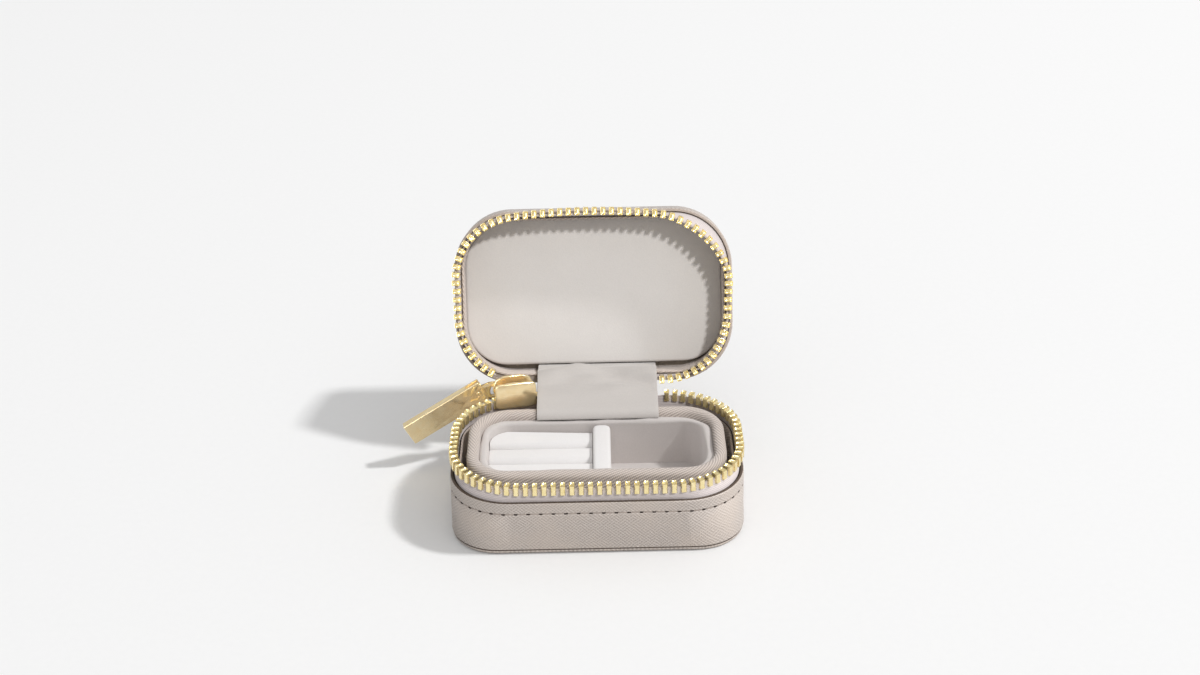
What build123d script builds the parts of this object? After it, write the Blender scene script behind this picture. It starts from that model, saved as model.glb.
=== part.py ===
from build123d import *
import math
import os

# A small zipped jewelry case that stands open.  Millimetres, +Z up.
# X runs along the width, -Y is the front, and the origin is the middle of the underside.
# The lid is drawn shut, as the base turned upside down over the parting plane, and then
# turned open about the hinge line, so that base and lid always share one outline.

# ---------------------------------------------------------------- driving dimensions
shell_width = 81.6            # outside of the leather, side to side
shell_depth = 50.8            # outside of the leather, front to back
shell_radius = 17.2           # corner of the shell, seen from above
base_height = 22.3            # underside to the parting plane
lid_height = 20.0             # parting plane to the top of the lid
rim_drop = 5.9                # parting plane to the leather's edge

leather = 0.9                 # leather cover
end_leather = 1.0             # leather of the bottom and of the lid's top
end_inset = 0.3               # the end leather is cut this much smaller than the shell
wall_board = 1.3              # stiffener of the walls
end_board = 1.5               # stiffener of the bottom and of the lid's top
lining = 0.6                  # twill lining on the walls
tape = 0.45                   # zip tape

zip_radius = 20.2             # corner of the zip's line, rounder than the shell
zip_inset = 0.9               # from the shell's outside to the middle of the tape at the teeth
tooth_pitch = 2.5
tooth_along = 1.25            # length of one tooth along the tape
tooth_across = 2.6
tooth_height = 2.9
tooth_gap = 0.4               # parting plane to the tip of a tooth
tooth_bite = 1.4              # how far the tape enters a tooth
chain_gap = 1.2               # slider's end to where the lid's teeth begin
tape_gap = 0.4                # the zip starts this far beside the leather spine

stitch_pitch = 3.4
stitch_length = 2.5
stitch_drop = 3.5             # leather's edge to the stitch line
stitch_thread = 0.3
stitch_groove = 0.42

collar_side_gap = 1.8         # wall lining to the raised collar, at the sides
collar_front_gap = 4.5        # the same, at the front and back
collar_radius = 12.0
collar_drop = 1.3             # parting plane to the collar's top
collar_wall = 3.4
collar_cover = 0.6
collar_roundness = 0.42       # of its top, as a share of its wall
tray_drop = 1.9               # collar's top to the tray's rim
tray_wall = 2.3
tray_floor = 1.2
divider_width = 5.0
divider_x = 1.5
divider_drop = 0.7            # tray's rim to the divider's top
divider_roundness = 0.28      # of its top, as a share of its width
roll_count = 3
roll_drop = 1.8               # divider's top to the tops of the rolls
roll_roundness = 0.9          # of a roll's top, as a share of half its width
roll_base = 2.6
pad_thickness = 1.2

panel_pad = 3.4               # padding of the panel inside the lid
panel_card = 1.4
panel_gap = 0.5               # round the panel, to the lining
panel_back_gap = 1.8          # the same, at the hinge side
panel_back_radius = 12.0

hinge_back = 1.9              # hinge line, behind the zip's line
lid_open = 111.5              # from shut to the open rest pose, degrees
stay_width = 35.0             # fabric stay between the lid and the insert
stay_x = 0.5                  # it sits a little to the right
stay_thickness = 0.8
stay_tuck = 2.0               # how far it reaches behind the panel's face
stay_lead = 1.4               # how far it runs straight on in front of that face
spine_width = 32.4            # leather left whole behind the hinge
spine_lead = 2.2              # how far it stands straight up from each leather edge

slider_length = 12.0
slider_height = 8.0
slider_corner = 2.2
slider_lift = 1.0             # its plates ride this much above the parting plane
slider_plate = 0.9
slider_inside = 2.4           # zip's line to the inner plate, wide enough for the corner of the zip
slider_outside = 1.55         # zip's line to the outer plate
slider_angle = 11.5           # where the slider is parked on the back corner, degrees from straight back
slider_gap = 0.15             # it is parked further round where it would come this near to the stay
slider_step = 0.1
neck_thickness = 0.4
neck_length = 2.4
neck_inset = 0.8              # slider's mouth to the neck
crown_length = 6.6
crown_width = 2.4
crown_thickness = 0.8
link_thickness = 1.1
link_height = 5.4
link_reach = 10.2             # from the crown to the rivet
link_wire = 1.2
link_taper = 3.4              # its arms close in over this length
link_web = 2.4                # rivet to the window of the link
link_eye = 1.6                # radius of the eye round the rivet
link_waist = 0.5              # half height of the window at its narrow end
rivet_radius = 0.7
bar_length = 25.6
bar_width = 6.8
bar_thickness = 2.6
bar_beyond = 1.8              # how far the bar runs on past the rivet
bar_slot = 2.4                # rivet to the bottom of the slot for the link
bar_edge = 0.25               # rounding of its edges
bar_droop = 28.0              # below level, degrees

clear = 0.3                   # soft or moving pieces, to their neighbours
slot_clear = 0.1              # link's faces to the slot in the bar
fit = 0.05                    # running clearance on a radius
touch = 0.15                  # round a piece that is laid in place

# ---------------------------------------------------------------- worked out from those
half_x, half_y = shell_width / 2, shell_depth / 2
zip_x, zip_y = half_x - zip_inset, half_y - zip_inset
rim_z = base_height - rim_drop
board_out = leather
board_in = leather + wall_board
lining_in = board_in + lining
end_stack = end_leather + end_board
tooth_top = base_height - tooth_gap
tooth_bottom = tooth_top - tooth_height
tape_top = tooth_bottom + tooth_bite
stitch_z = rim_z - stitch_drop
collar_x = half_x - lining_in - collar_side_gap
collar_y = half_y - lining_in - collar_front_gap
collar_top = base_height - collar_drop
tray_top = collar_top - tray_drop
divider_top = tray_top - divider_drop
roll_top = divider_top - roll_drop
tray_x, tray_y = collar_x - collar_wall, collar_y - collar_wall
tray_radius = collar_radius - collar_wall
room_x, room_y = tray_x - tray_wall, tray_y - tray_wall
room_radius = tray_radius - tray_wall
room_floor = end_stack + tray_floor
divider_low, divider_high = divider_x - divider_width / 2, divider_x + divider_width / 2
hinge_y = zip_y + hinge_back
hinge_z = base_height
tape_end = spine_width / 2 + tape_gap


# ---------------------------------------------------------------- shapes used again and again
def block(hx, hy, radius, low, high):
    """A rounded rectangle, centred, from one height to another."""
    return extrude(Pos(0, 0, low) * RectangleRounded(2 * hx, 2 * hy, radius), high - low)


def ring(outer, inner, low, high):
    """A wall round the shell, given as two insets from the leather's outside."""
    out = block(half_x - outer, half_y - outer, shell_radius - outer, low, high)
    return out - block(half_x - inner, half_y - inner, shell_radius - inner, low - 1, high + 1)


def box(x0, x1, y0, y1, z0, z1):
    """A plain box between two corners."""
    return Pos((x0 + x1) / 2, (y0 + y1) / 2, (z0 + z1) / 2) * Box(x1 - x0, y1 - y0, z1 - z0)


def loop_length(hx, hy, radius):
    """Length of a rounded rectangle's outline."""
    return 4 * (hx - radius) + 4 * (hy - radius) + 2 * math.pi * radius


def loop_place(hx, hy, radius, distance):
    """Place on a rounded rectangle, by distance from the middle of the back, going left.

    The place's own x axis points back along the outline and its y axis outwards.
    """
    straights = [hx - radius, 2 * (hy - radius), 2 * (hx - radius), 2 * (hy - radius), hx - radius]
    centres = [(-1, 1), (-1, -1), (1, -1), (1, 1)]
    starts = [(0, hy), (-hx, hy - radius), (-hx + radius, -hy), (hx, -hy + radius), (hx - radius, hy)]
    quarter = math.pi * radius / 2
    for side, straight in enumerate(straights):
        turn = 90 * side
        if distance <= straight or side == len(straights) - 1:
            break
        distance -= straight
        if distance <= quarter:
            angle = math.radians(turn) + distance / radius
            x = centres[side][0] * (hx - radius) - radius * math.sin(angle)
            y = centres[side][1] * (hy - radius) + radius * math.cos(angle)
            return Location((x, y, 0), (0, 0, math.degrees(angle)))
        distance -= quarter
    x, y = starts[side]
    angle = math.radians(turn)
    return Location((x - distance * math.cos(angle), y - distance * math.sin(angle), 0), (0, 0, turn))


def along_loop(outline, start, end, pitch, piece):
    """Copies of a piece, evenly spaced along an outline from one distance to another."""
    count = int((end - start) / pitch) + 1
    return [loop_place(*outline, start + i * pitch) * piece for i in range(count)]


def to_lid(shape):
    """The same piece in the lid: turned over the parting plane, then opened."""
    shut = mirror(shape, Plane((0, 0, base_height), z_dir=(0, 0, 1)))
    return open_lid(shut)


def open_lid(shut):
    """A piece of the shut lid, turned open about the hinge line."""
    return shut.rotate(Axis((0, hinge_y, hinge_z), (1, 0, 0)), -lid_open)


# ---------------------------------------------------------------- shell, made once for each half
def wall_cover(end):
    """Leather round the wall, its edge turned over the board, with a groove for the stitches."""
    cover = ring(0, board_out, end + end_leather, rim_z)
    cover += ring(0, board_in, rim_z - leather, rim_z)
    groove = stitch_thread + 0.2
    return cover - ring(-1, stitch_groove, stitch_z - groove / 2, stitch_z + groove / 2)


def wall_stiffener(end):
    return ring(board_out, board_in, end + end_stack, rim_z - leather)


def end_cover(end):
    """Leather of the bottom, or of the lid's top."""
    inset = end_inset
    return block(half_x - inset, half_y - inset, shell_radius - inset, end, end + end_leather)


def end_stiffener(end):
    inset = board_out
    return block(half_x - inset, half_y - inset, shell_radius - inset, end + end_leather, end + end_stack)


def wall_lining(end):
    """Twill on the inside of the wall."""
    return ring(board_in, lining_in, end + end_stack, rim_z)


def stitches():
    """One row of thread, lying in its groove."""
    outline = (half_x, half_y, shell_radius)
    depth = (stitch_groove + stitch_thread) / 2 - 0.02
    thread = Pos(0, 0.08 - depth, stitch_z) * Box(stitch_length, stitch_thread, stitch_thread)
    length = loop_length(*outline)
    pitch = length / round(length / stitch_pitch)
    return along_loop(outline, pitch / 2, length - pitch / 4, pitch, thread)


def tape_body(offset):
    """Everything inside one face of the tape, from the leather's edge up to the teeth."""
    inset = (leather + board_in) / 2 + offset
    foot_width, foot_depth = 2 * (half_x - inset), 2 * (half_y - inset)
    foot = RectangleRounded(foot_width, foot_depth, shell_radius - inset)
    out = tape / 2 - offset
    head = RectangleRounded(2 * (zip_x + out), 2 * (zip_y + out), zip_radius + out)
    return loft([Pos(0, 0, rim_z) * foot, Pos(0, 0, tape_top) * head], ruled=True)


def zip_tape(first, last):
    """Tape round the rim, open at the back between two places across."""
    band = tape_body(0) - tape_body(tape)
    return band - box(first, last, 0, half_y + 5, 0, base_height)


def zip_teeth(start, end):
    """One row of teeth, each a head with two legs that grip the tape."""
    tooth = Pos(0, 0, (tooth_top + tooth_bottom) / 2) * Box(tooth_along, tooth_across, tooth_height)
    tooth = chamfer(tooth.edges().filter_by(Axis.X).group_by(Axis.Z)[-1], 0.5)
    tooth -= Pos(0, 0, tooth_bottom + tooth_bite / 2) * Box(tooth_along, tape + 0.1, tooth_bite)
    return along_loop((zip_x, zip_y, zip_radius), start, end, tooth_pitch, tooth)


def shell(end, turn, side, tape_span, teeth_span):
    """The pieces of one half of the shell, by name."""
    return {
        f"{side}_wall_cover": turn(wall_cover(end)),
        f"{side}_wall_board": turn(wall_stiffener(end)),
        f"{side}_end_cover": turn(end_cover(end)),
        f"{side}_end_board": turn(end_stiffener(end)),
        f"{side}_wall_lining": turn(wall_lining(end)),
        f"{side}_stitches": [turn(s) for s in stitches()],
        f"{side}_zip_tape": turn(zip_tape(*tape_span)),
        f"{side}_zip_teeth": [turn(t) for t in zip_teeth(*teeth_span)],
    }


# ---------------------------------------------------------------- insert in the base
def collar_core():
    """Card wall inside the collar's cover."""
    outer = block(collar_x - collar_cover, collar_y - collar_cover, collar_radius - collar_cover,
                  end_stack, collar_top - collar_cover)
    return outer - block(tray_x + collar_cover, tray_y + collar_cover, tray_radius + collar_cover,
                         end_stack - 1, collar_top)


def collar_skin():
    """Twill over the collar: down the outside, round the top and down the inside to the tray."""
    skin = block(collar_x, collar_y, collar_radius, end_stack, collar_top)
    skin -= block(tray_x, tray_y, tray_radius, end_stack - 1, collar_top + 1)
    tops = skin.edges().filter_by_position(Axis.Z, collar_top - 0.01, collar_top + 0.01)
    return fillet(tops, collar_wall * collar_roundness) - collar_core()


def tray():
    """Suede-lined tray inside the collar, one room wide."""
    body = block(tray_x, tray_y, tray_radius, end_stack, tray_top)
    return body - block(room_x, room_y, room_radius, room_floor, tray_top + 1)


def divider():
    """Velvet wall between the ring rolls and the open room, rounded at its top."""
    wall = box(divider_low, divider_high, touch - room_y, room_y - touch, room_floor, divider_top)
    tops = wall.edges().group_by(Axis.Z)[-1]
    return fillet(tops, divider_width * divider_roundness)


def half_room(x0, x1, low, high):
    """A block that fills the tray's room between two places across."""
    gap = touch
    plan = block(room_x - gap, room_y - gap, room_radius - gap, low, high)
    return plan & box(x0, x1, -room_y, room_y, low, high)


def ring_roll(number):
    """One velvet roll, D-shaped in section, lying side to side."""
    pitch = 2 * (room_y - touch) / roll_count
    middle = -room_y + touch + (number + 0.5) * pitch
    half = pitch / 2 - touch / 2
    low = room_floor + roll_base
    roll = box(-room_x, divider_low - touch, middle - half, middle + half, low, roll_top)
    roll = fillet(roll.edges().filter_by(Axis.X).group_by(Axis.Z)[-1], half * roll_roundness)
    return roll & half_room(-room_x, divider_low - touch, low, roll_top)


# ---------------------------------------------------------------- panel in the lid
def panel_plan(low, high):
    """The lid panel's outline: an even gap round it, and a wider one at the hinge."""
    inset = lining_in + panel_gap
    front, back = half_y - inset, half_y - lining_in - panel_back_gap
    plan = Pos(0, (back - front) / 2) * Rectangle(2 * (half_x - inset), front + back)
    corners = plan.vertices().group_by(Axis.Y)
    plan = fillet(corners[0], shell_radius - inset)
    plan = fillet(plan.vertices().group_by(Axis.Y)[-1], panel_back_radius)
    return extrude(Pos(0, 0, low) * plan, high - low)


def panel(end):
    """Card and padding of the lid's panel."""
    low = end + end_stack
    card = panel_plan(low, low + panel_card)
    pad = panel_plan(low + panel_card, low + panel_card + panel_pad)
    return card, pad


# ---------------------------------------------------------------- hinge
def opened(y, z):
    """Where a point of the shut lid lies when the lid is open."""
    turn = math.radians(lid_open)
    y, z = y - hinge_y, z - hinge_z
    across, up = math.cos(turn), math.sin(turn)
    return (0, hinge_y + y * across + z * up, hinge_z - y * up + z * across)


def strip(points, width, thickness, middle=0):
    """A strip of sheet that follows points in Y and Z."""
    path = FilletPolyline(*points, radius=thickness)
    start = Plane(origin=path @ 0, x_dir=(1, 0, 0), z_dir=path % 0)
    return Pos(middle, 0, 0) * sweep(start * Rectangle(width, thickness), path=path)


def hinge_spine():
    """Leather left whole behind the zip, from the base's edge to the lid's."""
    y = half_y - leather / 2
    points = [(0, y, rim_z), (0, y, rim_z + spine_lead)]
    points += [opened(y, base_height + rim_drop - spine_lead), opened(y, base_height + rim_drop)]
    return strip(points, spine_width, leather)


def hinge_stay():
    """Suede stay from under the lid's panel, over the lid's edge and the collar, into the tray."""
    half = stay_thickness / 2
    panel_face = base_height + lid_height - end_stack - panel_card - panel_pad
    y = half_y - lining_in - panel_back_gap + clear + half
    rim = opened(half_y - lining_in, base_height + rim_drop)
    points = [opened(y, panel_face + stay_tuck), opened(y, panel_face - stay_lead)]
    points += [(0, rim[1] - half, rim[2] + clear + 2 * half)]
    points += [(0, collar_y + clear, collar_top + clear + 2 * half)]
    points += [(0, tray_y - clear / 2, collar_top + clear + half)]
    points += [(0, tray_y - clear - 2 * half, tray_top + clear)]
    return strip(points, stay_width, stay_thickness, stay_x)


# ---------------------------------------------------------------- slider and pull
# These are drawn about the middle of the slider: x along the zip, y outwards, z up.
def stay_room(distance):
    """Room across between the stay and the inner plate of a slider parked at that distance."""
    place = loop_place(zip_x, zip_y, zip_radius, distance)
    corner = place * Pos(slider_length / 2, -slider_inside - slider_plate, 0)
    return stay_x - stay_width / 2 - corner.position.X


slider_arc = zip_x - zip_radius + zip_radius * math.radians(slider_angle)
while stay_room(slider_arc) < slider_gap:
    slider_arc += slider_step
slider_place = Pos(0, 0, base_height) * loop_place(zip_x, zip_y, zip_radius, slider_arc)
plate_out = slider_outside + slider_plate
link_middle = plate_out + clear + link_thickness / 2
crown_out = link_middle + link_thickness / 2 + clear


def plate(y):
    """One face of the slider, from y outwards."""
    outline = Plane.XZ * RectangleRounded(slider_length, slider_height, slider_corner)
    return Pos(0, y, slider_lift) * extrude(outline, -slider_plate)


def slider_body():
    """Two plates joined by the neck at the mouth, between the two rows of teeth."""
    start = neck_inset - slider_length / 2
    half = neck_thickness / 2
    neck = box(start, start + neck_length, -slider_inside, slider_outside, -half, half)
    return plate(-slider_inside - slider_plate) + plate(slider_outside) + neck


def slider_crown():
    """Bridge on the outer plate that holds the pull's link."""
    half, tall = crown_length / 2, crown_width / 2
    bridge = box(-half, half, plate_out, crown_out + crown_thickness, -tall, tall)
    inside = half - crown_thickness
    bridge -= box(-inside, inside, plate_out, crown_out, -tall, tall)
    tops = bridge.edges().filter_by(Axis.Z).group_by(Axis.Y)[-1]
    return fillet(tops, crown_thickness * 0.8)


def pull_link():
    """Flat ring: a round bar under the crown, two arms and an eye for the rivet."""
    tall = link_height / 2
    shoulder = link_reach - link_taper
    outside = [(0, -tall), (0, tall), (-shoulder, tall), (-link_reach, link_eye)]
    outside += [(-link_reach, -link_eye), (-shoulder, -tall)]
    inner, window, waist = tall - link_wire, shoulder - link_wire / 2, link_reach - link_web - link_wire
    inside = [(1, -inner), (1, inner), (-window, inner), (-waist, link_waist)]
    inside += [(-waist, -link_waist), (-window, -inner)]
    face = make_face(Polyline(*outside, close=True)) + Pos(-link_reach, 0) * Circle(link_eye)
    face -= make_face(Polyline(*inside, close=True))
    face -= Pos(-link_reach, 0) * Circle(rivet_radius)
    ring_part = Pos(0, link_middle - link_thickness / 2, 0) * extrude(Plane.XZ * face, -link_thickness)
    return ring_part + Pos(0, link_middle, 0) * Cylinder(link_thickness / 2, link_height)


def pull_rivet():
    """Pin through the link's eye and both cheeks of the bar."""
    turn = Rot(90, 0, 0)
    return Pos(-link_reach, link_middle, 0) * turn * Cylinder(rivet_radius, bar_thickness)


def pull_bar():
    """Plain flat bar, slotted at its end for the link's eye, hanging below level."""
    half, tall = bar_thickness / 2, bar_width / 2
    bar = box(bar_beyond - bar_length, bar_beyond, -half, half, -tall, tall)
    bar = fillet(bar.edges(), bar_edge)
    gap = link_thickness / 2 + slot_clear
    bar -= box(-bar_slot, bar_beyond + 1, -gap, gap, -bar_width, bar_width)
    bar -= Rot(90, 0, 0) * Cylinder(rivet_radius + fit, bar_thickness + 1)
    return Pos(-link_reach, link_middle, 0) * Rot(0, -bar_droop, 0) * bar


# ---------------------------------------------------------------- every node
lid_end = base_height - lid_height
loop = loop_length(zip_x, zip_y, zip_radius)
slider_reach = slider_length / 2 + chain_gap
chain_start = tape_end + tooth_along / 2
zip_stop = stay_x + stay_width / 2 + clear
chain_end = loop - zip_stop - tooth_along / 2
lid_chain_start = slider_arc + slider_reach
lid_tape_start = slider_place.position.X - slider_reach

nodes = {}
nodes.update(shell(0, lambda piece: piece, "base", (-tape_end, zip_stop), (chain_start, chain_end)))
nodes.update(shell(lid_end, to_lid, "lid", (lid_tape_start, zip_stop), (lid_chain_start, chain_end)))

nodes["collar_board"] = collar_core()
nodes["collar_cover"] = collar_skin()
nodes["tray_liner"] = tray()
nodes["tray_divider"] = divider()
nodes["ring_roll_base"] = half_room(-room_x, divider_low - touch, room_floor, room_floor + roll_base)
for number, name in enumerate(["front", "middle", "rear"]):
    nodes[f"ring_roll_{name}"] = ring_roll(number)
nodes["tray_floor_pad"] = half_room(divider_high + touch, room_x, room_floor, room_floor + pad_thickness)

card, pad = panel(lid_end)
nodes["lid_panel_card"] = to_lid(card)
nodes["lid_panel_pad"] = to_lid(pad)

nodes["hinge_spine"] = hinge_spine()
nodes["hinge_stay"] = hinge_stay()

nodes["slider_body"] = slider_place * slider_body()
nodes["slider_crown"] = slider_place * slider_crown()
nodes["pull_link"] = slider_place * pull_link()
nodes["pull_rivet"] = slider_place * pull_rivet()
nodes["pull_bar"] = slider_place * pull_bar()

os.makedirs("parts", exist_ok=True)
for name, shape in nodes.items():
    if isinstance(shape, list):
        shape = Compound(children=shape)
    shape.label = name
    export_step(shape, f"parts/{name}.step")
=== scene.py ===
import math

import bmesh
import bpy
from mathutils import Matrix, Vector, noise


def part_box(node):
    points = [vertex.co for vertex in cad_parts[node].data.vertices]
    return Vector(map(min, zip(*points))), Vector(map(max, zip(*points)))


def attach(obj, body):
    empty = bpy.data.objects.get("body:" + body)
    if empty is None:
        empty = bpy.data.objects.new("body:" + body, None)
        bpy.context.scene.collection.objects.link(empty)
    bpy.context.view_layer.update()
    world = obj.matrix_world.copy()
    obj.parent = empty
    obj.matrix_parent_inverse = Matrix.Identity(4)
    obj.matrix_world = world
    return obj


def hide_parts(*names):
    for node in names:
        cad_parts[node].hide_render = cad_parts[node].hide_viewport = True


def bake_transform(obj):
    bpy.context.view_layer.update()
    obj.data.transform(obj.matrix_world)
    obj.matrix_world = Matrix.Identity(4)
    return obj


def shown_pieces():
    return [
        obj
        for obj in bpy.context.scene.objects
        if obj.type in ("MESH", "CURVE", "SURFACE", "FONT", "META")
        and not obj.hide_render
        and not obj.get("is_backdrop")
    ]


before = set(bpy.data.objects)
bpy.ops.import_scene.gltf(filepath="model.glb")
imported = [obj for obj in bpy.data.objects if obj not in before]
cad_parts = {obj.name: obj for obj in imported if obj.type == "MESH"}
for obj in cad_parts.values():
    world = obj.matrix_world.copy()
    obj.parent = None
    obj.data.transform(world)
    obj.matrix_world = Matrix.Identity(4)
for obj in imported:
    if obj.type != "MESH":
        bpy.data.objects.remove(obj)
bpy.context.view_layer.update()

bl_info = {
    "name": "Travel jewelry case",
    "version": (1, 0, 0),
    "blender": (4, 5, 0),
    "location": "View3D > Sidebar > Jewelry case",
    "description": "Builds the leather, zip, suede and velvet of a small zipped jewelry case",
    "category": "Add Mesh",
}

# Pieces are modelled in millimetres, with the case shut and standing on its base, and are then
# brought to metres.  Pieces of the lid are modelled in the base's place and turned up and open.
MM = 0.001


def size(node, axis):
    """A CAD node's size along one axis, in millimetres."""
    low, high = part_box(node)
    return (high[axis] - low[axis]) / MM


def top(node):
    """Height of a CAD node's upper face, in millimetres."""
    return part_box(node)[1][2] / MM


HALF_X = round(size("base_wall_cover", 0) / 2, 2)
HALF_Y = round(size("base_wall_cover", 1) / 2, 2)
RADIUS = 17.2                 # corner of the shell at its rim
BASE_CORNER, LID_CORNER = 13.2, 16.6    # its tighter corners at the two ends
RIM = round(top("base_wall_cover"), 2)
PARTING = RIM + 5.9           # where the two halves meet
HINGE = (HALF_Y + 1.0, PARTING)
LID_OPEN = 111.5
LID_HEIGHT = 20.0
LID_RIM = 2 * PARTING - RIM    # rim of the lid when it is shut
LEATHER = 0.9
LINING_OUT, LINING_IN = 2.2, 2.8
END = 2.5                     # leather and board of the bottom
END_LEATHER = 1.4             # height of the end's own leather, under that of the wall
SKIN = 0.3                    # what lies less far inside the outline is the outer face
CLEAR = 0.15                  # gap round what is pushed into the tray or the lid
ZIP_LINE = (HALF_X - 0.9, HALF_Y - 0.9, 20.2)
ZIP_X, ZIP_Y, ZIP_RADIUS = ZIP_LINE
TAPE_OUT, TAPE = 1.325, 0.45    # the tape's place inside the outline, and its thickness
TOOTH_TOP = PARTING - 0.4
FIRST_TOOTH, FIRST_TAPE = 17.225, 16.6    # where the base's zip starts beside the stay
SLIDER_REACH = 7.2            # from the slider's middle to the lid's first tooth
STITCH_Z = RIM - 3.5
STAY_X, STAY_WIDTH = 0.5, 35.0
ZIP_STOP = STAY_X + STAY_WIDTH / 2 + 0.3
SLIDER_TURN = math.radians(11.5)
OUTLINE = (HALF_X, HALF_Y, RADIUS)
X, Y, Z = range(3)


# ------------------------------------------------------------------ small tools
def linear(code):
    """An sRGB hex colour as linear red, green, blue and alpha."""
    parts = [int(code[i:i + 2], 16) / 255 for i in (0, 2, 4)]
    return [p / 12.92 if p <= 0.04045 else ((p + 0.055) / 1.055) ** 2.4 for p in parts] + [1.0]


def held(value):
    """A number held between 0 and 1."""
    return min(1.0, max(0.0, value))


def alone(ob):
    """Selects one object and nothing else, and makes it the active one."""
    bpy.ops.object.select_all(action="DESELECT")
    ob.select_set(True)
    bpy.context.view_layer.objects.active = ob


def edit(ob):
    """Opens one object, alone, in edit mode."""
    alone(ob)
    bpy.ops.object.mode_set(mode="EDIT")


def pick(ob, kind, test):
    """Selects the vertices, edges or faces that pass a test, and nothing else."""
    bpy.ops.mesh.select_mode(type=kind)
    bpy.ops.mesh.select_all(action="DESELECT")
    mesh = bmesh.from_edit_mesh(ob.data)
    mesh.normal_update()
    parts = {"VERT": mesh.verts, "EDGE": mesh.edges, "FACE": mesh.faces}[kind]
    for part in parts:
        part.select = bool(test(part))
    mesh.select_flush_mode()
    bmesh.update_edit_mesh(ob.data)


def level(z, slack=0.01):
    """A test for edges that lie all along at one height and are sharp there."""
    return lambda e: all(abs(v.co.z - z) < slack for v in e.verts) and e.calc_face_angle(0) > 0.6


def upright(e):
    """A test for edges that stand straight up."""
    return abs(e.verts[0].co.z - e.verts[1].co.z) > 1e-3


def cube(name, low, high):
    """A cube between two corners, left open in edit mode."""
    bpy.ops.object.select_all(action="DESELECT")
    bpy.ops.mesh.primitive_cube_add(size=1)
    ob = bpy.context.object
    ob.name = ob.data.name = name
    bpy.ops.object.mode_set(mode="EDIT")
    bpy.ops.transform.resize(value=[h - l for l, h in zip(low, high)])
    bpy.ops.transform.translate(value=[(l + h) / 2 for l, h in zip(low, high)])
    return ob


def extrude(rise):
    """Extrudes the faces that are selected, straight up or down."""
    bpy.ops.mesh.extrude_region_move(TRANSFORM_OT_translate={"value": (0, 0, rise)})


def soften(width, segments=2):
    """Rounds the edges that are selected."""
    bpy.ops.mesh.bevel(offset=width, segments=segments, affect="EDGES")


def block(name, outline, low, high, steps=14):
    """A rounded rectangle from one height to another, left open in edit mode."""
    half_x, half_y, radius = outline
    ob = cube(name, (-half_x, -half_y, low), (half_x, half_y, high))
    pick(ob, "EDGE", upright)
    soften(radius, steps)
    return ob


def inward(outline, inset):
    """An outline drawn in all round."""
    return tuple(side - inset for side in outline)


def ring(name, outline, wall, low, high, steps=14):
    """A wall round an outline, left open in edit mode."""
    ob = block(name, outline, low, high, steps)
    for up in (1, -1):
        pick(ob, "FACE", lambda f: f.normal.z * up > 0.9)
        bpy.ops.mesh.inset(thickness=wall, use_even_offset=True)
    pick(ob, "FACE", lambda f: abs(f.normal.z) > 0.9 and len(f.verts) > 4
         and f.calc_center_median().xy.length < 1)
    bpy.ops.mesh.bridge_edge_loops()
    return ob


def cut(axis, at):
    """Adds an edge loop where a plane across one axis meets the whole piece."""
    normal = [float(i == axis) for i in range(3)]
    bpy.ops.mesh.select_all(action="SELECT")
    bpy.ops.mesh.bisect(plane_co=[at * side for side in normal], plane_no=normal)


def close(ob):
    """Leaves edit mode."""
    bpy.ops.object.mode_set(mode="OBJECT")
    return ob


def supple(ob, amount, grain, test=lambda co: True, step=4.0):
    """Gives a soft piece the small unevenness of cloth or leather that lies over something."""
    low = [min(v.co[i] for v in ob.data.vertices) for i in range(2)]
    high = [max(v.co[i] for v in ob.data.vertices) for i in range(2)]
    edit(ob)
    for axis in (X, Y):
        for i in range(1, int((high[axis] - low[axis]) / step)):
            cut(axis, low[axis] + i * step + 0.013)    # a little off, to miss the edges there are
    close(ob)
    ways = [v.normal.copy() for v in ob.data.vertices]
    for vertex, way in zip(ob.data.vertices, ways):
        if test(vertex.co):
            vertex.co += way * amount * noise.noise(vertex.co / grain)
    return ob


def modify(ob, kind, **settings):
    """Adds a modifier and applies it."""
    alone(ob)
    made = ob.modifiers.new(kind.lower(), kind)
    for key, value in settings.items():
        setattr(made, key, value)
    bpy.ops.object.modifier_apply(modifier=made.name)


def break_edges(ob, width, segments, sharp):
    """Bevels every edge that is sharper than some degrees."""
    modify(ob, "BEVEL", width=width, segments=segments, limit_method="ANGLE",
           angle_limit=math.radians(sharp))


def place(ob, matrix):
    """Moves the mesh itself, and leaves the object at the origin."""
    alone(ob)
    ob.matrix_world = matrix
    bpy.ops.object.transform_apply(location=True, rotation=True, scale=True)
    return ob


def join(name, parts):
    """Makes one piece of several."""
    bpy.ops.object.select_all(action="DESELECT")
    for part in parts:
        part.select_set(True)
    bpy.context.view_layer.objects.active = parts[0]
    if len(parts) > 1:
        bpy.ops.object.join()
    parts[0].name = parts[0].data.name = name
    return parts[0]


def shift(x=0.0, y=0.0, z=0.0):
    """A move without a turn."""
    return Matrix.Translation((x, y, z))


def lid_place():
    """Takes a piece from its place in the base to the same place in the open lid."""
    over = shift(z=PARTING) @ Matrix.Rotation(math.pi, 4, "Y") @ shift(z=-PARTING)
    turn = Matrix.Rotation(-math.radians(LID_OPEN), 4, "X")
    return shift(y=HINGE[0], z=HINGE[1]) @ turn @ shift(y=-HINGE[0], z=-HINGE[1]) @ over


def opened(y, z):
    """Where a point of the shut lid lies when the lid is open."""
    turn = math.radians(LID_OPEN)
    y, z = y - HINGE[0], z - HINGE[1]
    return (HINGE[0] + y * math.cos(turn) + z * math.sin(turn),
            HINGE[1] - y * math.sin(turn) + z * math.cos(turn))


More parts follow.
